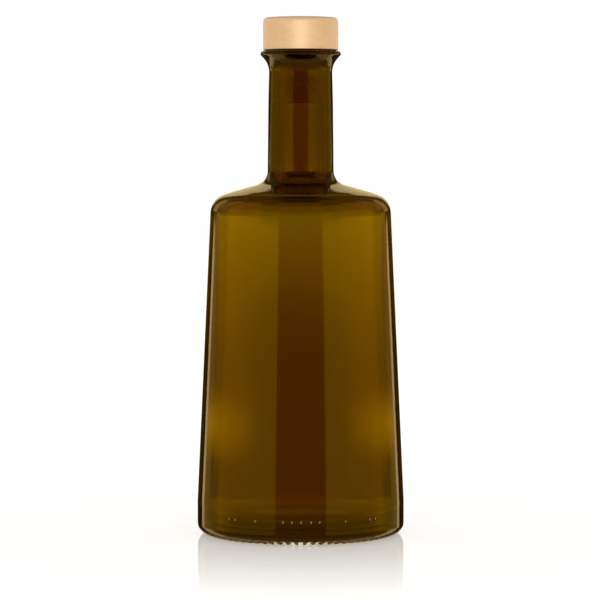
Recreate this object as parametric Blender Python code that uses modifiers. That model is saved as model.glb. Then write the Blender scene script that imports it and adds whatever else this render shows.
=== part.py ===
"""A half-litre glass bottle for oil, closed by a wooden stopper on a cork shank.

The bottle is one piece of glass: a slightly tapered round body, a sloping shoulder, a long straight
neck and a flared lip. It stands on a narrow ring round a shallow dome, and it is hollow and empty.
The stopper is a turned wooden head glued to a cork shank that sits in the bore.

Metres, +Z up. The origin is the centre of the ring that the bottle stands on.
"""

import math

import bpy

GAP = 0.0003  # kept between pieces that touch

# Foot: the ring it stands on, the dome inside the ring and the rounded heel outside it
RING_INNER_RADIUS = 0.0332
RING_OUTER_RADIUS = 0.0362
DOME_HEIGHT = 0.0036
HEEL_HEIGHT = 0.0044
HEEL_STEPS = 6

# Outside of the glass
FOOT_RADIUS = 0.0414
FOOT_TOP = 0.0132
BODY_TOP_RADIUS = 0.0358
BODY_TOP = 0.1342
SHOULDER_CORNER_ROUND = 0.0082
SHOULDER_BREAK_RADIUS = 0.0273
SHOULDER_BREAK_HEIGHT = 0.1371
SHOULDER_BREAK_ROUND = 0.0360
NECK_FOOT_RADIUS = 0.0132
NECK_FOOT_HEIGHT = 0.1410
NECK_FOOT_ROUND = 0.0059
NECK_MIDDLE_RADIUS = 0.0129
NECK_MIDDLE_HEIGHT = 0.1722
NECK_WAIST_RADIUS = 0.0125
LIP_UNDERSIDE_HEIGHT = 0.1878
LIP_UNDERSIDE_ROUND = 0.0082
LIP_RADIUS = 0.0160
LIP_EDGE_HEIGHT = 0.1915
LIP_EDGE_ROUND = 0.0008
LIP_TOP = 0.1931
LIP_TOP_ROUND = 0.0011

# Inside of the glass
BORE_RADIUS = 0.00875
MOUTH_ROUND = 0.0010
FLOOR_HEIGHT = 0.0060
FLOOR_DOME_RADIUS = 0.0300
FLOOR_DOME = 0.0028
FLOOR_CORNER_ROUND = 0.0060
WALL_LOW = 0.0036
WALL_MIDDLE_HEIGHT = 0.0650
WALL_HIGH = 0.0024
SHOULDER_WALL = 0.0027
INNER_CORNER_ROUND = 0.0062
INNER_NECK_HEIGHT = 0.1390
INNER_NECK_ROUND = 0.0050

# Stopper
HEAD_RADIUS = 0.0150
HEAD_HEIGHT = 0.0130
HEAD_TOP_ROUND = 0.0018
HEAD_FOOT_ROUND = 0.0003
SHANK_RADIUS = BORE_RADIUS - GAP
SHANK_LENGTH = 0.0208
SHANK_ROUND = 0.0014

TURN_STEPS = 64
MERGE_DISTANCE = 0.00001


def arc(centre, radius, start, end, steps):
    """Points on an arc of a circle, with the angles in radians."""
    return [
        (
            centre[0] + radius * math.cos(start + (end - start) * i / steps),
            centre[1] + radius * math.sin(start + (end - start) * i / steps),
        )
        for i in range(steps + 1)
    ]


def rounded(before, corner, after, radius, steps):
    """The arc of this radius that replaces a corner and touches both of its sides."""
    towards = [(p[0] - corner[0], p[1] - corner[1]) for p in (before, after)]
    lengths = [math.hypot(*t) for t in towards]
    units = [(t[0] / n, t[1] / n) for t, n in zip(towards, lengths)]
    half = math.acos(units[0][0] * units[1][0] + units[0][1] * units[1][1]) / 2
    reach = radius / math.tan(half)
    if reach > min(lengths):
        raise ValueError(f"a round of {radius} doesn't fit the corner at {corner}")
    middle = (units[0][0] + units[1][0], units[0][1] + units[1][1])
    depth = radius / math.sin(half) / math.hypot(*middle)
    centre = (corner[0] + middle[0] * depth, corner[1] + middle[1] * depth)
    ends = [(corner[0] + u[0] * reach, corner[1] + u[1] * reach) for u in units]
    start, end = (math.atan2(e[1] - centre[1], e[0] - centre[0]) for e in ends)
    turn = (end - start + math.pi) % (2 * math.pi) - math.pi
    return arc(centre, radius, start, start + turn, steps)


def outline(corners):
    """A line through (radius, height, round, steps) corners, where a round of 0 leaves a corner sharp."""
    points = []
    for i, (r, z, radius, steps) in enumerate(corners):
        if radius:
            points += rounded(corners[i - 1][:2], (r, z), corners[i + 1][:2], radius, steps)
        else:
            points.append((r, z))
    return points


def dome(rim_radius, rim_height, rise, steps):
    """An arc from the axis, where it is highest, down and out to its rim."""
    radius = (rim_radius**2 + rise**2) / (2 * rise)
    centre = (0.0, rim_height + rise - radius)
    reach = math.asin(rim_radius / radius)
    return arc(centre, radius, math.pi / 2, math.pi / 2 - reach, steps)


def outer_radius(height):
    """Radius of the outside of the body's tapered wall."""
    share = (height - FOOT_TOP) / (BODY_TOP - FOOT_TOP)
    return FOOT_RADIUS + (BODY_TOP_RADIUS - FOOT_RADIUS) * share


def inside_of_bottle():
    """From the middle of the floor, up the wall and the neck, to the mouth."""
    floor = dome(FLOOR_DOME_RADIUS, FLOOR_HEIGHT, FLOOR_DOME, 4)
    wall_top = BODY_TOP - SHOULDER_WALL
    corners = [
        (*floor[-1], 0, 0),
        (outer_radius(FLOOR_HEIGHT) - WALL_LOW, FLOOR_HEIGHT, FLOOR_CORNER_ROUND, 6),
        (outer_radius(WALL_MIDDLE_HEIGHT) - WALL_LOW, WALL_MIDDLE_HEIGHT, 0, 0),
        (outer_radius(wall_top) - WALL_HIGH, wall_top, INNER_CORNER_ROUND, 6),
        (SHOULDER_BREAK_RADIUS, SHOULDER_BREAK_HEIGHT - SHOULDER_WALL, 0, 0),
        (BORE_RADIUS, INNER_NECK_HEIGHT, INNER_NECK_ROUND, 5),
        (BORE_RADIUS, LIP_TOP, MOUTH_ROUND, 3),
        (LIP_RADIUS, LIP_TOP, 0, 0),
    ]
    return floor[:-1] + outline(corners)[:-1]


def heel():
    """A quarter of an ellipse from the foot of the wall down to the ring."""
    width = FOOT_RADIUS - RING_OUTER_RADIUS
    turns = [math.pi / 2 * i / HEEL_STEPS for i in range(HEEL_STEPS + 1)]
    return [
        (RING_OUTER_RADIUS + width * math.cos(turn), HEEL_HEIGHT * (1 - math.sin(turn)))
        for turn in turns
    ]


def outside_of_bottle():
    """From the mouth, out over the lip, down the neck and the body, to the middle of the underside."""
    corners = [
        (BORE_RADIUS, LIP_TOP, 0, 0),
        (LIP_RADIUS, LIP_TOP, LIP_TOP_ROUND, 4),
        (LIP_RADIUS, LIP_EDGE_HEIGHT, LIP_EDGE_ROUND, 3),
        (NECK_WAIST_RADIUS, LIP_UNDERSIDE_HEIGHT, LIP_UNDERSIDE_ROUND, 5),
        (NECK_MIDDLE_RADIUS, NECK_MIDDLE_HEIGHT, 0, 0),
        (NECK_FOOT_RADIUS, NECK_FOOT_HEIGHT, NECK_FOOT_ROUND, 6),
        (SHOULDER_BREAK_RADIUS, SHOULDER_BREAK_HEIGHT, SHOULDER_BREAK_ROUND, 3),
        (BODY_TOP_RADIUS, BODY_TOP, SHOULDER_CORNER_ROUND, 7),
        (FOOT_RADIUS, FOOT_TOP, 0, 0),
        (FOOT_RADIUS, HEEL_HEIGHT, 0, 0),
    ]
    underside = dome(RING_INNER_RADIUS, 0.0, DOME_HEIGHT, 4)
    return outline(corners)[1:-1] + heel() + underside[::-1]


def head_of_stopper():
    """Section of the wooden head, from the middle of its top to the middle of its underside."""
    foot = LIP_TOP + GAP
    top = foot + HEAD_HEIGHT
    corners = [
        (0.0, top, 0, 0),
        (HEAD_RADIUS, top, HEAD_TOP_ROUND, 5),
        (HEAD_RADIUS, foot, HEAD_FOOT_ROUND, 2),
        (0.0, foot, 0, 0),
    ]
    return outline(corners)


def shank_of_stopper():
    """Section of the cork shank, which ends just under the head."""
    corners = [
        (0.0, LIP_TOP, 0, 0),
        (SHANK_RADIUS, LIP_TOP, 0, 0),
        (SHANK_RADIUS, LIP_TOP - SHANK_LENGTH, SHANK_ROUND, 4),
        (0.0, LIP_TOP - SHANK_LENGTH, 0, 0),
    ]
    return outline(corners)


def material(name, colour, roughness, transmission=0.0):
    """A Principled material of one colour."""
    made = bpy.data.materials.new(name)
    made.use_nodes = True
    shader = made.node_tree.nodes["Principled BSDF"]
    shader.inputs["Base Color"].default_value = (*colour, 1.0)
    shader.inputs["Roughness"].default_value = roughness
    shader.inputs["Transmission Weight"].default_value = transmission
    made.diffuse_color = (*colour, 1.0)
    return made


def turned(name, section, finish, collection):
    """Turns a section, given as (radius, height) points, once round the Z axis."""
    mesh = bpy.data.meshes.new(name)
    edges = [(i, i + 1) for i in range(len(section) - 1)]
    mesh.from_pydata([(r, 0.0, z) for r, z in section], edges, [])
    mesh.materials.append(finish)
    piece = bpy.data.objects.new(name, mesh)
    collection.objects.link(piece)
    screw = piece.modifiers.new("turn", "SCREW")
    screw.axis = "Z"
    screw.angle = 2 * math.pi
    screw.steps = TURN_STEPS
    screw.render_steps = TURN_STEPS
    screw.use_smooth_shade = True
    screw.use_merge_vertices = True
    screw.merge_threshold = MERGE_DISTANCE
    return piece


def main():
    for old in list(bpy.data.objects):
        bpy.data.objects.remove(old)
    collection = bpy.data.collections.new("oil_bottle")
    bpy.context.scene.collection.children.link(collection)

    glass = material("brown_glass", (0.20, 0.11, 0.01), 0.02, transmission=1.0)
    wood = material("pale_wood", (0.80, 0.56, 0.32), 0.55)
    cork = material("cork", (0.55, 0.36, 0.20), 0.80)

    turned("bottle", inside_of_bottle() + outside_of_bottle(), glass, collection)
    turned("stopper_head", head_of_stopper(), wood, collection)
    turned("stopper_shank", shank_of_stopper(), cork, collection)


main()
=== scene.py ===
"""Finishes a half-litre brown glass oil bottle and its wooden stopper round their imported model.

The glass, the wooden head and the cork shank are surfaces of revolution with low relief, worked out
on a grid of a section parameter and an angle. Lengths are metres and +Z is up.
"""

import math

import bpy
import numpy as np
from bpy.props import FloatProperty, FloatVectorProperty, IntProperty, PointerProperty
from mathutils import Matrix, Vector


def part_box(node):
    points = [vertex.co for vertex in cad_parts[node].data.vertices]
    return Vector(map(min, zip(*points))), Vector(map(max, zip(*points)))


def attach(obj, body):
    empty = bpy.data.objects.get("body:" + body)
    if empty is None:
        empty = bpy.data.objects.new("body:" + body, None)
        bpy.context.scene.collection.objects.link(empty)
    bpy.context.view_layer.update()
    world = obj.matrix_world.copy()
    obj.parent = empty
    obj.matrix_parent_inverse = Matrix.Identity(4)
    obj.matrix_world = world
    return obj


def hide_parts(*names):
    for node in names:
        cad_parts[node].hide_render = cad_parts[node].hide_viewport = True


bl_info = {
    "name": "Oil Bottle",
    "version": (1, 0, 0),
    "blender": (4, 5, 0),
    "location": "View3D > Sidebar > Bottle",
    "description": "Builds a brown glass oil bottle with a wooden stopper and the studio round it",
    "category": "Add Mesh",
}

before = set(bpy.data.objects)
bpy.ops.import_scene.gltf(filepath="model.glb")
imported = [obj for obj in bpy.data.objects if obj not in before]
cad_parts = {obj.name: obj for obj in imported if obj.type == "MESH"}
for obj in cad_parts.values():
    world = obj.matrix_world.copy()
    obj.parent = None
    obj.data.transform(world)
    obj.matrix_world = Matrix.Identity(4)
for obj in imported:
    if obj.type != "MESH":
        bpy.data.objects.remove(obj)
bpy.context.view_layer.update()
GLASS_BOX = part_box("bottle")
HEAD_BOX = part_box("stopper_head")
SHANK_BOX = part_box("stopper_shank")

FRONT = -math.pi / 2  # the angle of the side that faces the camera


# Sizes and colours ------------------------------------------------------------------------------


def length(name, description, default):
    """A property that holds a length."""
    return FloatProperty(
        name=name, description=description, default=default, min=0.0, precision=5, unit="LENGTH"
    )


def colour(name, description, default):
    """A property that holds a colour."""
    return FloatVectorProperty(
        name=name, description=description, default=default, size=3, min=0.0, max=1.0, subtype="COLOR"
    )


def number(name, description, default):
    """A property that holds a plain number."""
    return FloatProperty(name=name, description=description, default=default, min=0.0)


class BottleSettings(bpy.types.PropertyGroup):
    """Sizes of the glass and its colour."""

    foot_radius: length("Foot radius", "Radius of the widest part, above the heel", GLASS_BOX[1].x)
    foot_top: length("Foot top", "Height where the taper starts", 0.0132)
    heel_height: length("Heel height", "Height of the rounded heel", 0.0044)
    ring_inner: length("Ring inside", "Inner radius of the ring it stands on", 0.0332)
    ring_outer: length("Ring outside", "Outer radius of the ring it stands on", 0.0362)
    dome_height: length("Dome height", "Height of the dome under the base", 0.0036)
    body_top_radius: length("Body top radius", "Radius of the body where it meets the shoulder", 0.0358)
    body_top: length("Body top", "Height of the corner between body and shoulder", 0.1342)
    corner_round: length("Corner round", "Round between body and shoulder", 0.0082)
    shoulder_radius: length("Shoulder radius", "Radius where the shoulder steepens", 0.0273)
    shoulder_height: length("Shoulder height", "Height where the shoulder steepens", 0.1371)
    shoulder_round: length("Shoulder round", "Round of the shoulder's slope", 0.0360)
    neck_radius: length("Neck radius", "Radius at the foot of the neck", 0.0132)
    neck_height: length("Neck height", "Height of the foot of the neck", 0.1410)
    neck_round: length("Neck round", "Round between shoulder and neck", 0.0059)
    mid_neck_radius: length("Mid-neck radius", "Radius of the neck where it narrows further", 0.0129)
    mid_neck_height: length("Mid-neck height", "Height where the neck narrows further", 0.1722)
    waist_radius: length("Waist radius", "Radius of the neck under the lip", 0.0125)
    waist_height: length("Waist height", "Height of the waist under the lip", 0.1878)
    waist_round: length("Waist round", "Round between the neck and the flare of the lip", 0.0082)
    lip_radius: length("Lip radius", "Radius of the flared lip", 0.0160)
    lip_foot: length("Lip foot", "Height where the flare meets the lip's edge", 0.1915)
    lip_top: length("Lip top", "Height of the glass", GLASS_BOX[1].z)
    bore_radius: length("Bore radius", "Radius of the bore", 0.00875)
    bore_foot: length("Bore foot", "Height where the bore opens into the body", 0.1390)
    wall_low: length("Wall low", "Thickness of the wall in the lower half", 0.0036)
    wall_high: length("Wall high", "Thickness of the wall at the shoulder", 0.0024)
    thinning_height: length("Thinning height", "Height above which the wall thins", 0.0650)
    shoulder_wall: length("Shoulder wall", "Thickness of the glass in the shoulder", 0.0027)
    floor_radius: length("Floor radius", "Radius of the floor's dome", 0.0300)
    floor_height: length("Floor height", "Height of the floor's rim inside", 0.0060)
    floor_dome: length("Floor dome", "Rise of the floor in its middle", 0.0028)
    waviness: length("Waviness", "How far the inside strays from round", 0.00003)
    notches: IntProperty(name="Notches", description="Notches round the ring", default=72, min=3)
    notch_depth: length("Notch depth", "Depth of the notches in the ring", 0.0011)
    seam_height: length("Seam height", "Height of the mould's seam, which lies over the heel", 0.0066)
    dot_height: length("Dot height", "How far the heel's dots stand proud", 0.00030)
    # painted glints: the colour of opaque tips over the dots, which stand in for their highlights
    glint_tint: colour("Worn tint", "Colour of the dots' worn tips", (0.24, 0.145, 0.055))
    tint: colour("Tint", "Colour that the glass lets through", (0.76, 0.68, 0.0))
    density: number("Density", "Strength of the tint for each metre of glass", 1500.0)


class StopperSettings(bpy.types.PropertyGroup):
    """Sizes and colours of the stopper."""

    head_radius: length("Head radius", "Radius of the wooden head", HEAD_BOX[1].x)
    head_round: length("Head round", "Round of the head's top edge", 0.0018)
    head_foot_round: length("Head foot round", "Round of the head's lower edge", 0.0004)
    shank_radius: length("Shank radius", "Radius of the cork shank", SHANK_BOX[1].x)
    shank_round: length("Shank round", "Round of the shank's end", 0.0014)
    wood_pale: colour("Pale wood", "Colour of the wood between its streaks", (0.73, 0.45, 0.215))
    wood_dark: colour("Dark wood", "Colour of the wood's streaks", (0.665, 0.405, 0.19))
    wood_fleck: colour("Wood flecks", "Colour of the wood's flecks", (0.50, 0.27, 0.12))
    # painted shade for the dark fringe along the head's outline, on the rounded rim of its top
    wood_rim_shade: colour("Wood rim", "Colour of the worn rim of the head's top", (0.30, 0.20, 0.12))
    # painted shade for the shadow in the gap between the head and the lip, on the head's underside
    wood_undershade: colour("Wood stain", "Colour of the oiled underside", (0.03, 0.010, 0.002))
    cork_pale: colour("Pale cork", "Colour of the cork", (0.84, 0.69, 0.46))
    cork_dark: colour("Dark cork", "Colour of the cork's pores", (0.45, 0.30, 0.17))


class StudioSettings(bpy.types.PropertyGroup):
    """Floor, light and camera."""

    # bluish under a warm glow, so that the floor turns warm where the bottle keeps light off it: painted
    # amber light near the bottle's foot
    floor_colour: colour("Floor", "Colour of the floor", (0.34, 0.41, 0.45))
    glow_colour: colour("Glow", "Colour of the light that the floor gives off", (1.0, 0.88, 0.77))
    floor_glow: number("Floor glow", "Light that the floor gives off", 0.74)
    mirror: number("Mirror", "How much the floor mirrors at the bottle's foot", 0.46)
    room_light: number("Room light", "Brightness of the room", 1.0)
    through_light: number("Light through", "Brightness of the room as seen through the glass", 0.45)
    head_light: number("Head light", "Power of the light on the wooden head", 21.0)
    head_light_colour: colour("Head light colour", "Colour of the light on the head", (1.0, 0.86, 0.56))
    distance: length("Camera distance", "Distance from the bottle's axis to the camera", 1.12)
    height: length("Camera height", "Height of the camera", 0.156)
    aim_height: length("Aim height", "Height of the point that the camera looks at", 0.0937)
    aim_aside: FloatProperty(
        name="Aim aside",
        description="How far to the side the camera looks",
        default=-0.00027,
        unit="LENGTH",
    )
    focal_length: FloatProperty(
        name="Focal length",
        description="Focal length of the lens",
        default=168.0,
        subtype="DISTANCE_CAMERA",
    )


# Sections ----------------------------------------------------------------------------------------


def arc(centre, radius, start, end, count):
    """Points at equal angles on a circle: centre + radius (cos t, sin t), with t from start to end."""
    t = np.linspace(start, end, count)
    return np.stack([centre[0] + radius * np.cos(t), centre[1] + radius * np.sin(t)], 1)


def line(start, end, count):
    """Points at equal steps on a line, without its ends: start + s (end - start), with 0 < s < 1."""
    s = np.linspace(0, 1, count + 2)[1:-1, None]
    return np.array(start) + s * (np.array(end) - np.array(start))


def rounded(before, corner, after, radius, count):
    """The arc that touches both sides of a corner. Its centre lies on the corner's bisector, at
    radius / sin(half the corner's angle)."""
    before, corner, after = (np.array(p, float) for p in (before, corner, after))
    sides = [(p - corner) / np.linalg.norm(p - corner) for p in (before, after)]
    half = math.acos(float(sides[0] @ sides[1])) / 2
    middle = (sides[0] + sides[1]) / np.linalg.norm(sides[0] + sides[1])
    centre = corner + middle * radius / math.sin(half)
    start, end = (corner + side * radius / math.tan(half) - centre for side in sides)
    first = math.atan2(start[1], start[0])
    turn = (math.atan2(end[1], end[0]) - first + math.pi) % (2 * math.pi) - math.pi
    return arc(centre, radius, first, first + turn, count)


def outline(corners):
    """Points along lines that meet at corners, each given as its radius and height, its round, the
    count of points on the round and the count of points on the line after it."""
    turns = []
    for i, (r, z, radius, count, _) in enumerate(corners):
        if radius:
            turns.append(rounded(corners[i - 1][:2], (r, z), corners[i + 1][:2], radius, count))
        else:
            turns.append(np.array([[r, z]]))
    parts = turns[:1]
    for corner, before, after in zip(corners, turns, turns[1:]):
        parts += [line(before[-1], after[0], corner[-1]), after]
    return np.concatenate(parts)


def dome(rim_radius, rim_height, rise, count):
    """An arc from the top of a dome on the axis, down and out to its rim."""
    radius = (rim_radius**2 + rise**2) / (2 * rise)
    reach = math.asin(rim_radius / radius)
    return arc((0, rim_height + rise - radius), radius, math.pi / 2, math.pi / 2 - reach, count)


def taper(s, height):
    """Radius of the tapered outer wall, on the line from the top of the foot to the top of the body."""
    slope = (s.body_top_radius - s.foot_radius) / (s.body_top - s.foot_top)
    return s.foot_radius + slope * (height - s.foot_top)


# Counts of points along the forms of the base and the floor
DOME_POINTS = 8
RING_POINTS = 5
HEEL_POINTS = 13
FOOT_POINTS = 32

# Rounds of the glass that no setting changes, outside from the neck upwards and then inside downwards
MID_NECK_ROUND = 0.3
LIP_FOOT_ROUND = 0.0008
LIP_TOP_ROUND = 0.0011
BORE_TOP_ROUND = 0.0010
BORE_FOOT_ROUND = 0.0050
INNER_SHOULDER_ROUND = 0.03
INNER_CORNER_ROUND = 0.0062
THINNING_ROUND = 0.5
FLOOR_ROUND = 0.0060


def glass_section(s):
    """The section of the bottle in two parts that share a point: the base, from the middle of the
    underside up to the foot of the taper, and the rest, over the lip and down inside to the floor.

    The heel is a quarter of an ellipse, and the other forms are lines, arcs and two domes."""
    turn = np.linspace(math.pi / 2, 0, HEEL_POINTS)
    heel = np.stack(
        [
            s.ring_outer + (s.foot_radius - s.ring_outer) * np.cos(turn),
            s.heel_height * (1 - np.sin(turn)),
        ],
        1,
    )
    underside = dome(s.ring_inner, 0.0, s.dome_height, DOME_POINTS)
    ring = line(underside[-1], heel[0], RING_POINTS)
    foot = line(heel[-1], (s.foot_radius, s.foot_top), FOOT_POINTS)
    join = np.array([[s.foot_radius, s.foot_top]])
    base = np.concatenate([underside, ring, heel, foot, join])

    outside = outline(
        [
            (s.foot_radius, s.foot_top, 0, 0, 22),
            (s.body_top_radius, s.body_top, s.corner_round, 16, 2),
            (s.shoulder_radius, s.shoulder_height, s.shoulder_round, 7, 2),
            (s.neck_radius, s.neck_height, s.neck_round, 14, 6),
            (s.mid_neck_radius, s.mid_neck_height, MID_NECK_ROUND, 4, 3),
            (s.waist_radius, s.waist_height, s.waist_round, 14, 1),
            (s.lip_radius, s.lip_foot, LIP_FOOT_ROUND, 6, 1),
            (s.lip_radius, s.lip_top, LIP_TOP_ROUND, 8, 1),
            (s.bore_radius, s.lip_top, 0, 0, 0),
        ]
    )
    floor = dome(s.floor_radius, s.floor_height, s.floor_dome, DOME_POINTS)[::-1]
    inner_top = s.body_top - s.shoulder_wall
    inner_top_radius = taper(s, inner_top) - s.wall_high
    thinning_radius = taper(s, s.thinning_height) - s.wall_low
    inner_foot_radius = taper(s, s.floor_height) - s.wall_low
    inside = outline(
        [
            (s.lip_radius, s.lip_top, 0, 0, 0),
            (s.bore_radius, s.lip_top, BORE_TOP_ROUND, 6, 8),
            (s.bore_radius, s.bore_foot, BORE_FOOT_ROUND, 12, 3),
            (s.shoulder_radius, s.shoulder_height - s.shoulder_wall, INNER_SHOULDER_ROUND, 5, 3),
            (inner_top_radius, inner_top, INNER_CORNER_ROUND, 12, 8),
            (thinning_radius, s.thinning_height, THINNING_ROUND, 6, 10),
            (inner_foot_radius, s.floor_height, FLOOR_ROUND, 14, 3),
            (*floor[0], 0, 0, 0),
        ]
    )
    return base, np.concatenate([outside[:-1], inside[1:-1], floor])


def turned_grid(section, angles, relief):
    """Points of a section carried round the Z axis: (r, z) at angle a goes to (r cos a, r sin a, z).

    relief(r, z, a) gives how far each point moves outwards and upwards, as arrays on the same grid."""
    r, z, a = np.broadcast_arrays(section[:, :1], section[:, 1:], angles[None, :])
    out, up = relief(r, z, a) if relief else (0.0, 0.0)
    r, z = r + out, z + up
    return np.stack([r * np.cos(a), r * np.sin(a), z], -1)


def grid_faces(first, rings, count):
    """Quads between the neighbouring rings of a grid whose points start at index first."""
    here = np.arange(count)
    after = np.roll(here, -1)
    row = first + np.arange(rings - 1)[:, None] * count
    return np.stack([row + here, row + after, row + count + after, row + count + here], -1).reshape(-1, 4)


def closed_mesh(name, points, faces):
    """A smooth mesh from points and arrays of faces, each array with faces of one size."""
    sizes = np.concatenate([np.full(len(f), f.shape[1]) for f in faces])
    corners = np.concatenate([f.ravel() for f in faces]).astype(np.int32)
    mesh = bpy.data.meshes.new(name)
    mesh.vertices.add(len(points))
    mesh.vertices.foreach_set("co", points.astype(np.float32).ravel())
    mesh.loops.add(len(corners))
    mesh.loops.foreach_set("vertex_index", corners)
    mesh.polygons.add(len(sizes))
    mesh.polygons.foreach_set("loop_start", np.concatenate([[0], np.cumsum(sizes)[:-1]]).astype(np.int32))
    mesh.update(calc_edges=True)
    mesh.validate()
    mesh.shade_smooth()
    return mesh


STRIDE = 3


def turned_mesh(name, sections, angles, relief=None):
    """Turns one section, or two that share a point, round the Z axis into a closed mesh.

    The sections run from the axis underneath, up the outside, to the axis again, so that faces point
    out. The first has all the angles. A second one has one angle in each stride of three, and a row of
    six-sided faces joins it to the first."""
    rows = [part[1:] for part in sections]
    rows[-1] = rows[-1][:-1]
    points, faces, used = [], [], 0
    for part, step in zip(rows, (1, STRIDE)):
        turns = angles[::step]
        here = np.arange(len(turns))
        after = np.roll(here, -1)
        if used:
            below = [used - len(angles) + (STRIDE * here + k) % len(angles) for k in range(STRIDE + 1)]
            faces.append(np.stack([*below, used + after, used + here], 1))
        faces.append(grid_faces(used, len(part), len(turns)))
        points.append(turned_grid(part, turns, relief).reshape(-1, 3))
        used += len(points[-1])
    last = used - len(turns)
    faces.append(np.stack([last + here, last + after, np.full(len(turns), used + 1)], 1))
    here = np.arange(len(angles))
    faces.append(np.stack([np.roll(here, -1), here, np.full(len(angles), used)], 1))
    points.append(np.array([[0, 0, sections[0][0, 1]], [0, 0, sections[-1][-1, 1]]]))
    return closed_mesh(name, np.concatenate(points), faces)


def piece(name, mesh, material, node):
    """Adds a mesh as a piece that rides with the bottle and stands for a node, where one is given."""
    mesh.materials.append(material)
    made = bpy.data.objects.new(name, mesh)
    bpy.context.scene.collection.objects.link(made)
    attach(made, "root")
    if node:
        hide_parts(node)


# Relief ------------------------------------------------------------------------------------------


def smooth(low, high, x):
    """0 below low and 1 above high, with 3 t^2 - 2 t^3 between them."""
    t = np.clip((x - low) / (high - low), 0, 1)
    return t * t * (3 - 2 * t)


def hump(x, y):
    """A smooth hump of height 1 in the middle of the circle x^2 + y^2 = 1, and 0 outside it."""
    return smooth(0, 1, 1 - x * x - y * y)


OUTSIDE_DEPTH = 0.0012  # a point of the outside lies at most this deep under the outer wall,
INSIDE_DEPTH = 0.0015  # and a point of the inside lies deeper than this

WAVES = (  # share, waves round the bottle, radians for each metre of height, and phase
    (1.0, 3, 40, 1.0),
    (0.7, 5, -90, 2.2),
    (0.5, 2, 170, 0.0),
)
WAVES_START = (0.012, 0.030)  # heights over which the waves rise above the floor,
WAVES_END = (0.118, 0.130)  # and over which they die out under the shoulder

SEAM_RISE = 0.00006
SEAM_WIDTH = 0.00022

DOTS = (  # angle from the front in degrees, half width and half height of each dot on the heel
    *((a, 0.00036, 0.00085) for a in (-9.4, -4.7, 0.3, 5.6, 10.2)),
    *((a, 0.00045, 0.00070) for a in (-42.0, -37.8, -25.0, 24.8, 40.2, 44.4)),
)
DOT_LEVEL = 0.0096  # height of the dots' middles

NOTCH_START = (-0.0024, -0.0012)  # distances from the ring's middle over which the notches deepen,
NOTCH_END = (0.0040, 0.0060)  # and over which they end
NOTCH_TOP = (0.0008, 0.0020)  # heights over which they fade out
NOTCH_FLANKS = (0.2, 0.6)  # shares of the cosine's height between which their flanks rise


def glass_relief(s):
    """Relief of the bottle: waves inside, a seam and dots on the heel, and notches in the ring."""

    def relief(r, z, a):
        wall = taper(s, np.maximum(z, s.foot_top))
        outer = (r > wall - OUTSIDE_DEPTH) & (z < s.body_top)
        over_floor = (z > (s.floor_height + s.heel_height) / 2) & (z < s.body_top)
        inner = (r < wall - INSIDE_DEPTH) & over_floor
        # the waves are a sum of three sines of the angle and the height
        waves = sum(share * np.sin(around * a + up * z + phase) for share, around, up, phase in WAVES)
        fade = smooth(*WAVES_START, z) * (1 - smooth(*WAVES_END, z))
        out = np.where(inner, s.waviness * waves * fade, 0.0)
        # the seam is a narrow bell: its rise times e to the power -(distance / width) squared
        seam = SEAM_RISE * np.exp(-(((z - s.seam_height) / SEAM_WIDTH) ** 2))
        out = out + np.where(outer, seam, 0.0)
        # each dot is a hump over an ellipse: x and y are shares of its half width and half height
        for angle, half_width, half_height in DOTS:
            x = (a - FRONT - math.radians(angle)) * s.foot_radius / half_width
            y = (z - DOT_LEVEL) / half_height
            out = out + np.where(outer, s.dot_height * hump(x, y), 0.0)
        # the notches are a raised cosine round the ring, with steeper flanks
        off_middle = r - (s.ring_inner + s.ring_outer) / 2
        across = smooth(*NOTCH_START, off_middle) * (1 - smooth(*NOTCH_END, off_middle))
        cut = smooth(*NOTCH_FLANKS, 0.5 + 0.5 * np.cos(s.notches * a))
        under = 1 - smooth(*NOTCH_TOP, z)
        return out, s.notch_depth * cut * across * under

    return relief


TIP_ROWS = (  # share of the tip's size, and depth or height over the dot's hump, from back to front
    (0.35, -0.00008),
    (0.95, -0.00006),
    (1.00, -0.00001),
    (0.85, 0.000008),
    (0.60, 0.000016),
    (0.30, 0.000020),
)
TIP_SHARE = 0.70  # size of a tip, as a share of its dot
TIP_SIDES = 16


def tips_mesh(s):
    """Painted glints on the dots' tips: thin lenses of the same curve as the humps of the relief, which
    stand in for the highlights of the dots.

    A point at share t and turn u lies at x = t cos u and y = t sin u of its dot. The lenses follow the
    line of the taper, carried down past the foot, so they stand about a tenth of a millimetre clear of
    the humps."""
    share, lift = np.array(TIP_ROWS).T[:, None, :, None]
    angle, half_width, half_height = np.array(DOTS).T[:, :, None, None]
    turns = np.linspace(0, 2 * math.pi, TIP_SIDES, endpoint=False)
    x, y = TIP_SHARE * share * np.cos(turns), TIP_SHARE * share * np.sin(turns)
    z = DOT_LEVEL + y * half_height
    r = taper(s, z) + s.dot_height * hump(x, y) + lift
    a = FRONT + np.radians(angle) + x * half_width / s.foot_radius
    points = np.stack([r * np.cos(a), r * np.sin(a), z], -1)
    count, rows, around = points.shape[:3]
    first = np.arange(count)[:, None] * rows * around
    backs = first + np.arange(around)[::-1]
    fronts = first + (rows - 1) * around + np.arange(around)
    sides = [grid_faces(start, rows, around) for start in first[:, 0]]
    return closed_mesh("dot_tips", points.reshape(-1, 3), [*sides, backs, fronts])


RELIEF_START = 0.7  # share of the head's radius where its relief starts
TURNING_DEPTH = 0.000012
TURNING_WAVES = 9000  # radians for each metre of height
WANDER = 0.00002
WANDER_PHASE = 0.6


def wood_relief(s):
    """Relief of the wooden head: shallow rings left by the turning, and a little wander of the round.

    The rings are a sine of the height, and the wander is a sine of twice the angle, less one."""

    def relief(r, z, a):
        side = smooth(RELIEF_START * s.head_radius, s.head_radius, r)
        rings = TURNING_DEPTH * np.sin(z * TURNING_WAVES)
        wander = WANDER * (np.sin(2 * a + WANDER_PHASE) - 1)
        return side * (rings + wander), 0.0

    return relief


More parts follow.
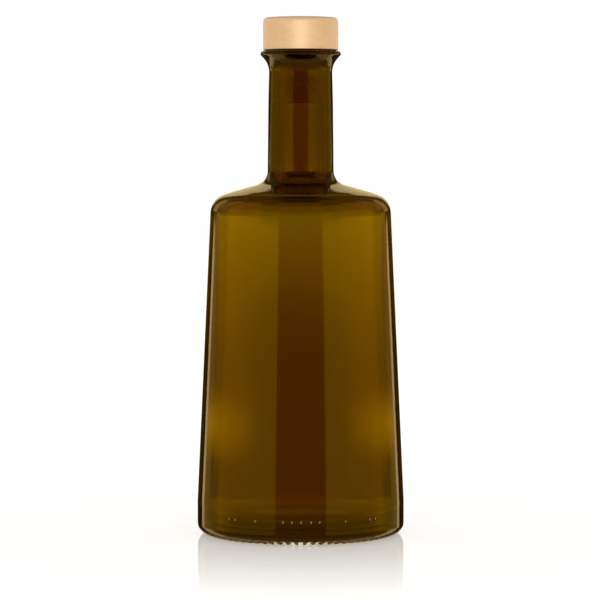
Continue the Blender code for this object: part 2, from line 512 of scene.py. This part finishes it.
# Materials ---------------------------------------------------------------------------------------

GLASS_IOR = 1.52
GLASS_IN_VIEWPORT = (0.25, 0.14, 0.02)  # the colour that a solid view gives the glass
WOOD_IOR = 1.48
BLACK = (0.0, 0.0, 0.0)
WHITE = (1.0, 1.0, 1.0)


def opaque(values):
    """A colour with its alpha."""
    return (*values, 1.0)


def grey(value):
    """A grey as a colour with its alpha."""
    return opaque((value,) * 3)


class Nodes:
    """Adds and joins the nodes of a material or a world."""

    def __init__(self, owner):
        owner.use_nodes = True
        self.tree = owner.node_tree
        self.tree.nodes.clear()

    def add(self, kind, inputs=None, **settings):
        """A node of a kind, with its settings, and its inputs set to values or joined to sockets."""
        node = self.tree.nodes.new(kind)
        for name, value in settings.items():
            setattr(node, name, value)
        for name, value in (inputs or {}).items():
            if isinstance(value, bpy.types.NodeSocket):
                self.tree.links.new(value, node.inputs[name])
            else:
                node.inputs[name].default_value = value
        return node

    def math(self, operation, *values):
        """The output of a Math node."""
        return self.add("ShaderNodeMath", dict(enumerate(values)), operation=operation).outputs[0]

    def ramp(self, factor, *stops):
        """The output of a colour ramp between two stops, each a position and a colour."""
        node = self.add("ShaderNodeValToRGB", {"Fac": factor})
        for element, (position, value) in zip(node.color_ramp.elements, stops):
            element.position, element.color = position, value
        return node.outputs[0]

    def mix(self, factor, first, second):
        """The colour between two colours. A Mix node's colour sockets are inputs 6 and 7 and output 2."""
        return self.add("ShaderNodeMix", {0: factor, 6: first, 7: second}, data_type="RGBA").outputs[2]

    def fade(self, value, start, end, first=0.0, last=1.0):
        """A smooth step: first up to the start, last from the end, and 3 t^2 - 2 t^3 between them."""
        return self.add(
            "ShaderNodeMapRange",
            {"Value": value, "From Min": start, "From Max": end, "To Min": first, "To Max": last},
            interpolation_type="SMOOTHSTEP",
        ).outputs[0]

    def size(self, vector):
        """The length of a vector."""
        return self.add("ShaderNodeVectorMath", {0: vector}, operation="LENGTH").outputs["Value"]

    def bump(self, height, strength, distance):
        """A normal that follows a height."""
        return self.add(
            "ShaderNodeBump", {"Height": height, "Strength": strength, "Distance": distance}
        ).outputs[0]

    def position(self, scale=(1, 1, 1), location=(0, 0, 0)):
        """Object coordinates, scaled and moved."""
        coordinates = self.add("ShaderNodeTexCoord").outputs["Object"]
        return self.add(
            "ShaderNodeMapping", {"Vector": coordinates, "Location": location, "Scale": scale}
        ).outputs[0]

    def noise(self, vector, scale, detail=2.0, roughness=0.5, distortion=0.0):
        """The output of a noise texture."""
        return self.add(
            "ShaderNodeTexNoise",
            {
                "Vector": vector,
                "Scale": scale,
                "Detail": detail,
                "Roughness": roughness,
                "Distortion": distortion,
            },
        ).outputs["Fac"]


def brown_glass(s):
    """Clear glass that takes up light as it passes through, with the faint ripple of moulded glass."""
    material = bpy.data.materials.new("brown_glass")
    n = Nodes(material)
    ripple = n.noise(n.position((1, 1, 0.35)), scale=90.0, detail=1.0)
    glass = n.add(
        "ShaderNodeBsdfPrincipled",
        {
            "Base Color": opaque(WHITE),
            "Roughness": 0.0,
            "IOR": GLASS_IOR,
            "Transmission Weight": 1.0,
            "Normal": n.bump(ripple, strength=0.01, distance=0.001),
        },
    )
    tint = n.add("ShaderNodeVolumeAbsorption", {"Color": opaque(s.tint), "Density": s.density})
    n.add("ShaderNodeOutputMaterial", {"Surface": glass.outputs[0], "Volume": tint.outputs[0]})
    material.diffuse_color = opaque(GLASS_IN_VIEWPORT)
    return material


def glint_glass(s):
    """Painted glints: matt, pale glass in a mottle of two browns, which stands in for the highlights on
    the dots' tips.
    """
    material = bpy.data.materials.new("glint_glass")
    n = Nodes(material)
    mottle = n.noise(n.position(), scale=2500.0)
    darker = tuple(0.7 * c for c in s.glint_tint)
    painted = n.add(
        "ShaderNodeBsdfPrincipled",
        {
            "Base Color": n.ramp(mottle, (0.35, opaque(darker)), (0.65, opaque(s.glint_tint))),
            "Roughness": 0.45,
            "IOR": GLASS_IOR,
            "Normal": n.bump(mottle, strength=0.2, distance=0.0001),
        },
    )
    n.add("ShaderNodeOutputMaterial", {"Surface": painted.outputs[0]})
    material.diffuse_color = opaque(s.glint_tint)
    return material


RIM_DEPTHS = (0.0011, 0.0001)  # depths under the head's top over which painted shade darkens its rim, and distances from the head's side over which it does
RIM_WIDTHS = (0.0030, 0.0012)  # and distances from the head's side over which it does
RIM_SHARE = 0.85
UNDERSHADE_HEIGHT = 0.0005  # height over the head's underside up to which painted shade darkens it, for the shadow in the gap over the lip
UNDERSHADE_SHARE = 0.95


def pale_wood(s):
    """Beech with its grain along X: fine streaks, wide faint bands and small flecks, under satin oil.

    The rim of the head's top is darkened with painted shade, for the dark fringe along the head's
    outline, and so is its underside, for the shadow in the gap over the lip."""
    material = bpy.data.materials.new("pale_wood")
    n = Nodes(material)
    # each noise is drawn out along X, which a small scale there does
    streaks = n.noise(n.position((0.06, 1, 1)), scale=900.0, detail=3.0, roughness=0.6)
    bands = n.noise(n.position((0.10, 1, 1), (0.01, 0.02, 0.03)), scale=160.0, detail=1.0)
    flecks = n.noise(n.position((0.25, 1, 1), (0.3, 0.1, 0.2)), scale=1600.0, detail=1.0)
    share = n.math("ADD", n.math("MULTIPLY", streaks, 0.6), n.math("MULTIPLY", bands, 0.4))
    grain = n.ramp(share, (0.35, opaque(s.wood_dark)), (0.60, opaque(s.wood_pale)))
    fleck = n.ramp(flecks, (0.28, grey(0.3)), (0.36, grey(0.0)))
    colours = n.mix(fleck, grain, opaque(s.wood_fleck))

    bottom, top = HEAD_BOX[0].z, HEAD_BOX[1].z
    height = n.add("ShaderNodeSeparateXYZ", {"Vector": n.position()}).outputs["Z"]
    radius = n.size(n.position((1, 1, 0)))
    # painted shade: the rounded rim of the head's top darkens, for the dark fringe along the head's
    # outline
    upper = n.fade(height, *(top - depth for depth in RIM_DEPTHS), last=RIM_SHARE)
    outer = n.fade(radius, *(s.head_radius - width for width in RIM_WIDTHS))
    colours = n.mix(n.math("MULTIPLY", upper, outer), colours, opaque(s.wood_rim_shade))
    # painted shade: the underside darkens to near black, for the shadow in the gap between the head and
    # the lip
    undershade = n.fade(height, bottom + UNDERSHADE_HEIGHT, bottom, last=UNDERSHADE_SHARE)
    colours = n.mix(undershade, colours, opaque(s.wood_undershade))

    grooves = n.math("SUBTRACT", n.math("MULTIPLY", streaks, 0.6), n.math("MULTIPLY", fleck, 0.5))
    wood = n.add(
        "ShaderNodeBsdfPrincipled",
        {
            "Base Color": colours,
            "Roughness": n.math("MULTIPLY_ADD", streaks, 0.10, 0.40),
            "IOR": WOOD_IOR,
            "Normal": n.bump(grooves, strength=0.10, distance=0.0001),
        },
    )
    n.add("ShaderNodeOutputMaterial", {"Surface": wood.outputs[0]})
    material.diffuse_color = opaque(s.wood_pale)
    return material


def natural_cork(s):
    """Cork with a mottled colour, dark pores and a bump that follows them."""
    material = bpy.data.materials.new("cork")
    n = Nodes(material)
    mottle = n.noise(n.position(), scale=260.0, detail=3.0, roughness=0.6)
    pores = n.noise(n.position((1, 1, 0.5), (0.2, 0.3, 0.1)), scale=700.0, distortion=0.5)
    pore = n.ramp(pores, (0.30, grey(0.6)), (0.38, grey(0.0)))
    darker = tuple(0.88 * c for c in s.cork_pale)
    base = n.ramp(mottle, (0.30, opaque(darker)), (0.65, opaque(s.cork_pale)))
    relief = n.math("SUBTRACT", n.math("MULTIPLY", mottle, 0.3), pore)
    cork = n.add(
        "ShaderNodeBsdfPrincipled",
        {
            "Base Color": n.mix(pore, base, opaque(s.cork_dark)),
            "Roughness": 0.8,
            "Normal": n.bump(relief, strength=0.4, distance=0.0004),
        },
    )
    n.add("ShaderNodeOutputMaterial", {"Surface": cork.outputs[0]})
    material.diffuse_color = opaque(s.cork_pale)
    return material


MIRROR_START = 0.03  # distances from the bottle's axis between which the floor's mirror fades out
MIRROR_END = 0.17
MIRROR_ROUGHNESS = 0.02


def floor_material(s):
    """A white floor that glows like a light table. Its mirror fades with the distance from the bottle."""
    material = bpy.data.materials.new("studio_floor")
    n = Nodes(material)
    share = n.add(
        "ShaderNodeMapRange",
        {
            "Value": n.size(n.position()),
            "From Min": MIRROR_START,
            "From Max": MIRROR_END,
            "To Min": s.mirror,
            "To Max": 0.0,
        },
    ).outputs[0]
    # Bluish matt under a warm glow: near the bottle's foot, where less light reaches the matt part, the
    # floor turns warm, which is painted amber light for the light that the glass throws.
    matt = n.add("ShaderNodeBsdfDiffuse", {"Color": opaque(s.floor_colour)})
    glow = n.add("ShaderNodeEmission", {"Color": opaque(s.glow_colour), "Strength": s.floor_glow})
    mirror = n.add("ShaderNodeBsdfGlossy", {"Color": opaque(WHITE), "Roughness": MIRROR_ROUGHNESS})
    pale = n.add("ShaderNodeAddShader", {0: matt.outputs[0], 1: glow.outputs[0]})
    floor = n.add("ShaderNodeMixShader", {0: share, 1: pale.outputs[0], 2: mirror.outputs[0]})
    n.add("ShaderNodeOutputMaterial", {"Surface": floor.outputs[0]})
    return material


# Operators ---------------------------------------------------------------------------------------

FINE_REACH = 15.0  # degrees to either side of the front, where the middle dots of the heel are
FINE_STEP = 0.25  # degrees between the angles there
COARSE_SIDES = 600  # count of the angles on the rest of the round
HEAD_SIDES = 256
SHANK_SIDES = 192


class OILBOTTLE_OT_glass(bpy.types.Operator):
    """Builds the glass bottle"""

    bl_idname = "oilbottle.glass"
    bl_label = "Glass Bottle"

    def execute(self, context):
        s = context.scene.bottle_glass
        fine = np.arange(-FINE_REACH, FINE_REACH, FINE_STEP)
        coarse = np.linspace(FINE_REACH, 360.0 - FINE_REACH, COARSE_SIDES, endpoint=False)
        angles = FRONT + np.radians(np.concatenate([fine, coarse]))
        mesh = turned_mesh("glass_bottle", glass_section(s), angles, glass_relief(s))
        piece("glass_bottle", mesh, brown_glass(s), "bottle")
        return {"FINISHED"}


class OILBOTTLE_OT_tips(bpy.types.Operator):
    """Builds the painted glints on the tips of the dots on the heel"""

    bl_idname = "oilbottle.tips"
    bl_label = "Dot Tips"

    def execute(self, context):
        s = context.scene.bottle_glass
        piece("dot_tips", tips_mesh(s), glint_glass(s), None)
        return {"FINISHED"}


class OILBOTTLE_OT_head(bpy.types.Operator):
    """Builds the turned wooden head of the stopper"""

    bl_idname = "oilbottle.head"
    bl_label = "Stopper Head"

    def execute(self, context):
        s = context.scene.bottle_stopper
        foot, top = HEAD_BOX[0].z, HEAD_BOX[1].z
        section = outline(
            [
                (0.0, foot, 0, 0, 8),
                (s.head_radius, foot, s.head_foot_round, 5, 60),
                (s.head_radius, top, s.head_round, 12, 10),
                (0.0, top, 0, 0, 0),
            ]
        )
        angles = np.linspace(-math.pi, math.pi, HEAD_SIDES, endpoint=False)
        mesh = turned_mesh("wooden_head", [section], angles, wood_relief(s))
        piece("wooden_head", mesh, pale_wood(s), "stopper_head")
        return {"FINISHED"}


class OILBOTTLE_OT_shank(bpy.types.Operator):
    """Builds the cork shank of the stopper"""

    bl_idname = "oilbottle.shank"
    bl_label = "Stopper Shank"

    def execute(self, context):
        s = context.scene.bottle_stopper
        foot, top = SHANK_BOX[0].z, SHANK_BOX[1].z
        section = outline(
            [
                (0.0, foot, 0, 0, 8),
                (s.shank_radius, foot, s.shank_round, 8, 40),
                (s.shank_radius, top, 0, 0, 4),
                (0.0, top, 0, 0, 0),
            ]
        )
        angles = np.linspace(-math.pi, math.pi, SHANK_SIDES, endpoint=False)
        mesh = turned_mesh("cork_shank", [section], angles)
        piece("cork_shank", mesh, natural_cork(s), "stopper_shank")
        return {"FINISHED"}


# Panels of light round the bottle. Each has the angles where it starts and ends, counted from the
# camera's side round to the back and alike to the left and the right, its lowest and highest
# elevation, and its brightness, as a number or a colour. An edge is an angle and the width over which
# it fades, in degrees, and where it is None, the panel has no edge there.
SEEN_THROUGH = {
    "side front": ((30, 1), (78, 30), (-7, 2.5), (3, 3), 2.9),
    "side front, low": ((30, 1), (78, 30), (-12, 2.5), (-7, 2.5), 1.0),
    "side": ((78, 30), (125, 16), (-12, 2.5), (-1.2, 1), 1.5),
    "strip": ((147, 1), (152, 1), (-9, 1), (-1, 1), 2.6),
    "back, low": ((162, 8), (176, 7), (-12, 2), (-6, 1.2), 0.3),
    "back": ((162, 8), (176, 7), (-6, 1.2), (-1, 2), 1.0),
    "back, high": ((155, 10), None, (-4, 3), (3, 2), 0.35),
    "back, above": ((150, 20), None, (3.5, 2), (24, 6), 0.35),
    "overhead front": ((10, 15), (30, 15), (20, 8), (42, 8), 1.0),
    "overhead side": ((30, 15), (120, 15), (20, 8), (42, 8), 5.0),
    "overhead back": ((120, 15), (150, 15), (20, 8), (42, 8), 2.0),
    "ceiling": ((75, 15), (140, 15), (42, 8), (60, 8), 1.5),
    "between": ((75, 15), (110, 15), (8, 8), (20, 8), 2.0),
    "ground": ((60, 15), (155, 10), (-40, 8), (-13, 8), 3.3),
    "ground behind": ((155, 10), None, (-22, 6), (-13, 8), 0.15),
    "ground behind, low": ((155, 10), None, (-40, 8), (-22, 6), 0.5),
}
SEEN_OFF = {
    "front": (None, (28, 1), (-13, 2), (4, 2), (0.65, 0.04, 0.01)),
    "front, low": (None, (28, 1), (-13, 2), (-6, 4), (0.02, 0.20, 0.00)),
    "side": ((28, 1), (105, 10), (-13, 2), (4, 2), (1.12, 0.50, 0.01)),
    "side back": ((105, 10), (122, 3), (-3.7, 0.8), (4, 2), (0.70, 0.36, 0.01)),
    "side back, dark": ((105, 10), (122, 3), (-4.9, 0.6), (-3.7, 0.8), (0.40, 0.24, 0.02)),
    "side back, low": ((105, 10), (122, 3), (-13, 2), (-4.9, 0.6), (0.72, 0.38, 0.02)),
    "side back, edge": ((122, 3), (136, 3), (-13, 2), (4, 2), (0.72, 0.38, 0.05)),
    "strip": ((136.5, 3), (144, 3), (-13, 2), (0.1, 2), (1.42, 1.02, 0.42)),
    "strip, high": ((136.5, 3), (144, 3), (0.1, 2), (4, 2), (0.20, 0.10, 0.00)),
    "strip, above": ((136, 4), (150, 6), (4, 2), (30, 4), (0.50, 0.38, 0.12)),
    "dark": ((146, 2), (176, 2), (-13, 2), (4, 2), (0.05, 0.02, 0.00)),
    "behind": ((176, 2), None, (-13, 2), (4, 2), (1.40, 1.25, 0.95)),
    "backdrop": ((165, 6), None, (4, 2), (26.5, 3), (0.87, 0.69, 0.35)),
    "overhead behind": ((146, 6), None, (4, 2), (50, 10), (0.15, 0.07, 0.01)),
    "overhead front": (None, (45, 15), (4, 2), (50, 10), (0.34, 0.06, 0.00)),
    "overhead side": ((50, 15), (105, 10), (4, 2), (50, 10), (0.80, 0.22, 0.02)),
    "overhead back": ((105, 10), (150, 10), (4, 2), (50, 10), (0.30, 0.14, 0.04)),
    "ceiling": (None, None, (50, 10), None, (0.30, 0.10, 0.00)),
    "ground front": (None, (118, 10), (-42, 4), (-13, 2), (0.60, 0.25, 0.02)),
    "ground back": ((118, 10), (140, 4), (-42, 4), (-13, 2), (1.70, 1.17, 0.44)),
    "ground behind": ((140, 4), (167, 4), (-42, 4), (-13, 2), (0.09, 0.05, 0.03)),
    "ground far back": ((167, 4), None, (-42, 4), (-13, 2), (1.20, 0.95, 0.45)),
    "underneath": (None, (98, 15), None, (-42, 4), (0.80, 0.35, 0.05)),
    "underneath back": ((98, 15), None, None, (-42, 4), (1.00, 0.66, 0.26)),
}
# Panels that the tapered wall mirrors each at one height all round. In place of the elevation they have
# the elevation less the wall's bend times the cosine of half the angle.
SEEN_OFF_WALL = {
    "glow": ((60, 30), (136, 3), (-6.20, 0.9), (-5.34, 0.9), (0.90, 0.42, 0.00)),
    "glow middle": ((84, 24), (126, 14), (-6.22, 0.9), (-5.32, 0.9), (0.40, 0.20, 0.00)),
    "foot front": (None, (28, 1), (-11.5, 1), (-7.45, 0.2), (0.36, 0.24, 0.00)),
    "foot": ((28, 1), (112, 20), (-11.5, 1), (-7.45, 0.2), (0.40, 0.23, 0.00)),
}
WALL_BEND = 5.26  # degrees


def add_panels(n, base, panels, angle, height):
    """A base and the sum of the panels, each the product of its soft edges times its light."""
    total = base
    for first, last, low, high, light in panels.values():
        inside = 1.0
        for value, edge, ends in (
            (angle, first, (0.0, 1.0)),
            (angle, last, (1.0, 0.0)),
            (height, low, (0.0, 1.0)),
            (height, high, (1.0, 0.0)),
        ):
            if edge:
                middle, width = edge
                share = n.fade(value, middle - width / 2, middle + width / 2, *ends)
                inside = n.math("MULTIPLY", share, inside)
        light = light if isinstance(light, tuple) else (light,) * 3
        total = n.add(
            "ShaderNodeVectorMath", {0: inside, 1: light, 2: total}, operation="MULTIPLY_ADD"
        ).outputs[0]
    return total


def studio_world(s):
    """A white room whose panels show only in clear glass: one set through it and one off its surface.

    A direction's angle is that of its X and Y, and its elevation the arcsine of its Z."""
    world = bpy.data.worlds.new("studio")
    bpy.context.scene.world = world
    n = Nodes(world)
    direction = n.add("ShaderNodeTexCoord").outputs["Generated"]
    axes = n.add("ShaderNodeSeparateXYZ", {"Vector": direction}).outputs
    around = n.math("ARCTAN2", axes["X"], n.math("MULTIPLY", axes["Y"], -1.0))
    angle = n.math("DEGREES", n.math("ABSOLUTE", around))
    elevation = n.math("DEGREES", n.math("ARCSINE", axes["Z"]))
    bend = n.math("COSINE", n.math("MULTIPLY", around, 0.5))
    on_wall = n.math("MULTIPLY_ADD", bend, -WALL_BEND, elevation)

    through = add_panels(n, (s.through_light,) * 3, SEEN_THROUGH, angle, elevation)
    off = add_panels(n, BLACK, SEEN_OFF, angle, elevation)
    off = add_panels(n, off, SEEN_OFF_WALL, angle, on_wall)
    path = n.add("ShaderNodeLightPath").outputs
    sharp = n.math("MULTIPLY", path["Is Glossy Ray"], path["Is Singular Ray"])
    lit = n.mix(path["Is Camera Ray"], grey(s.room_light), opaque(WHITE))
    lit = n.mix(sharp, lit, off)
    lit = n.mix(path["Is Transmission Ray"], lit, through)
    background = n.add("ShaderNodeBackground", {"Color": lit, "Strength": 1.0})
    n.add("ShaderNodeOutputWorld", {"Surface": background.outputs[0]})


HEAD_LIGHT_WIDTH = 0.80
HEAD_LIGHT_HEIGHT = 0.19
HEAD_LIGHT_PLACE = (0.0, -1.0, 0.105)


def head_light(s, head):
    """A soft box under the camera that gives the wooden head's side its gloss.

    It stays below the head's top, which would mirror it towards a view from behind."""
    data = bpy.data.lights.new("head_light", "AREA")
    data.shape = "RECTANGLE"
    data.size, data.size_y = HEAD_LIGHT_WIDTH, HEAD_LIGHT_HEIGHT
    data.energy = s.head_light
    data.color = s.head_light_colour
    light = bpy.data.objects.new("head_light", data)
    bpy.context.scene.collection.objects.link(light)
    light.location = HEAD_LIGHT_PLACE
    light.rotation_euler = (math.pi / 2, 0.0, 0.0)
    light.visible_camera = False
    light.visible_diffuse = False
    lit = bpy.data.collections.new("lit_by_head_light")
    lit.objects.link(head)
    light.light_linking.receiver_collection = lit


FLOOR_HALF = 3.0  # half the floor's side


def studio_floor(s):
    """A square floor, which the glass neither mirrors nor shows: there the panels stand for it."""
    mesh = bpy.data.meshes.new("studio_floor")
    signs = ((-1, -1), (1, -1), (1, 1), (-1, 1))
    mesh.from_pydata([(FLOOR_HALF * x, FLOOR_HALF * y, 0.0) for x, y in signs], [], [(0, 1, 2, 3)])
    mesh.materials.append(floor_material(s))
    floor = bpy.data.objects.new("studio_floor", mesh)
    bpy.context.scene.collection.objects.link(floor)
    floor.visible_glossy = False
    floor.visible_transmission = False


SENSOR_WIDTH = 36.0  # millimetres
NEAREST = 0.01  # distance from the lens where the camera starts to see


def studio_camera(s):
    """A camera in front of the bottle that looks a little down."""
    lens = bpy.data.cameras.new("camera")
    lens.lens = s.focal_length
    lens.sensor_width = SENSOR_WIDTH
    lens.clip_start = NEAREST
    camera = bpy.data.objects.new("camera", lens)
    bpy.context.scene.collection.objects.link(camera)
    drop = math.atan2(s.height - s.aim_height, s.distance)
    turn = math.atan2(-s.aim_aside, s.distance)
    camera.location = (0.0, -s.distance, s.height)
    camera.rotation_euler = (math.pi / 2 - drop, 0.0, turn)
    bpy.context.scene.camera = camera


GLASS_BOUNCES = 24  # light passes the glass of both walls more than once
MIRROR_BOUNCES = 12


class OILBOTTLE_OT_studio(bpy.types.Operator):
    """Builds the floor, the light and the camera"""

    bl_idname = "oilbottle.studio"
    bl_label = "Studio"

    def execute(self, context):
        s = context.scene.bottle_studio
        studio_floor(s)
        studio_world(s)
        head_light(s, context.scene.objects["wooden_head"])
        studio_camera(s)
        context.scene.view_settings.view_transform = "Standard"
        context.scene.cycles.max_bounces = GLASS_BOUNCES
        context.scene.cycles.transmission_bounces = GLASS_BOUNCES
        context.scene.cycles.glossy_bounces = MIRROR_BOUNCES
        return {"FINISHED"}


class OILBOTTLE_PT_sidebar(bpy.types.Panel):
    """Lists the settings and the pieces"""

    bl_idname = "OILBOTTLE_PT_sidebar"
    bl_label = "Oil Bottle"
    bl_space_type = "VIEW_3D"
    bl_region_type = "UI"
    bl_category = "Bottle"

    def draw(self, context):
        for group, operators in (
            (context.scene.bottle_glass, (OILBOTTLE_OT_glass, OILBOTTLE_OT_tips)),
            (context.scene.bottle_stopper, (OILBOTTLE_OT_head, OILBOTTLE_OT_shank)),
            (context.scene.bottle_studio, (OILBOTTLE_OT_studio,)),
        ):
            box = self.layout.box()
            for name in group.__annotations__:
                box.prop(group, name)
            for operator in operators:
                box.operator(operator.bl_idname)


CLASSES = (
    BottleSettings,
    StopperSettings,
    StudioSettings,
    OILBOTTLE_OT_glass,
    OILBOTTLE_OT_tips,
    OILBOTTLE_OT_head,
    OILBOTTLE_OT_shank,
    OILBOTTLE_OT_studio,
    OILBOTTLE_PT_sidebar,
)


def register():
    """Adds the classes, and the settings to the scene."""
    for cls in CLASSES:
        bpy.utils.register_class(cls)
    bpy.types.Scene.bottle_glass = PointerProperty(type=BottleSettings)
    bpy.types.Scene.bottle_stopper = PointerProperty(type=StopperSettings)
    bpy.types.Scene.bottle_studio = PointerProperty(type=StudioSettings)


def unregister():
    """Takes the settings and the classes away again."""
    del bpy.types.Scene.bottle_studio
    del bpy.types.Scene.bottle_stopper
    del bpy.types.Scene.bottle_glass
    for cls in reversed(CLASSES):
        bpy.utils.unregister_class(cls)


def main():
    """Builds every piece in order."""
    register()
    bpy.ops.oilbottle.glass()
    bpy.ops.oilbottle.tips()
    bpy.ops.oilbottle.head()
    bpy.ops.oilbottle.shank()
    bpy.ops.oilbottle.studio()


if __name__ == "__main__":
    main()
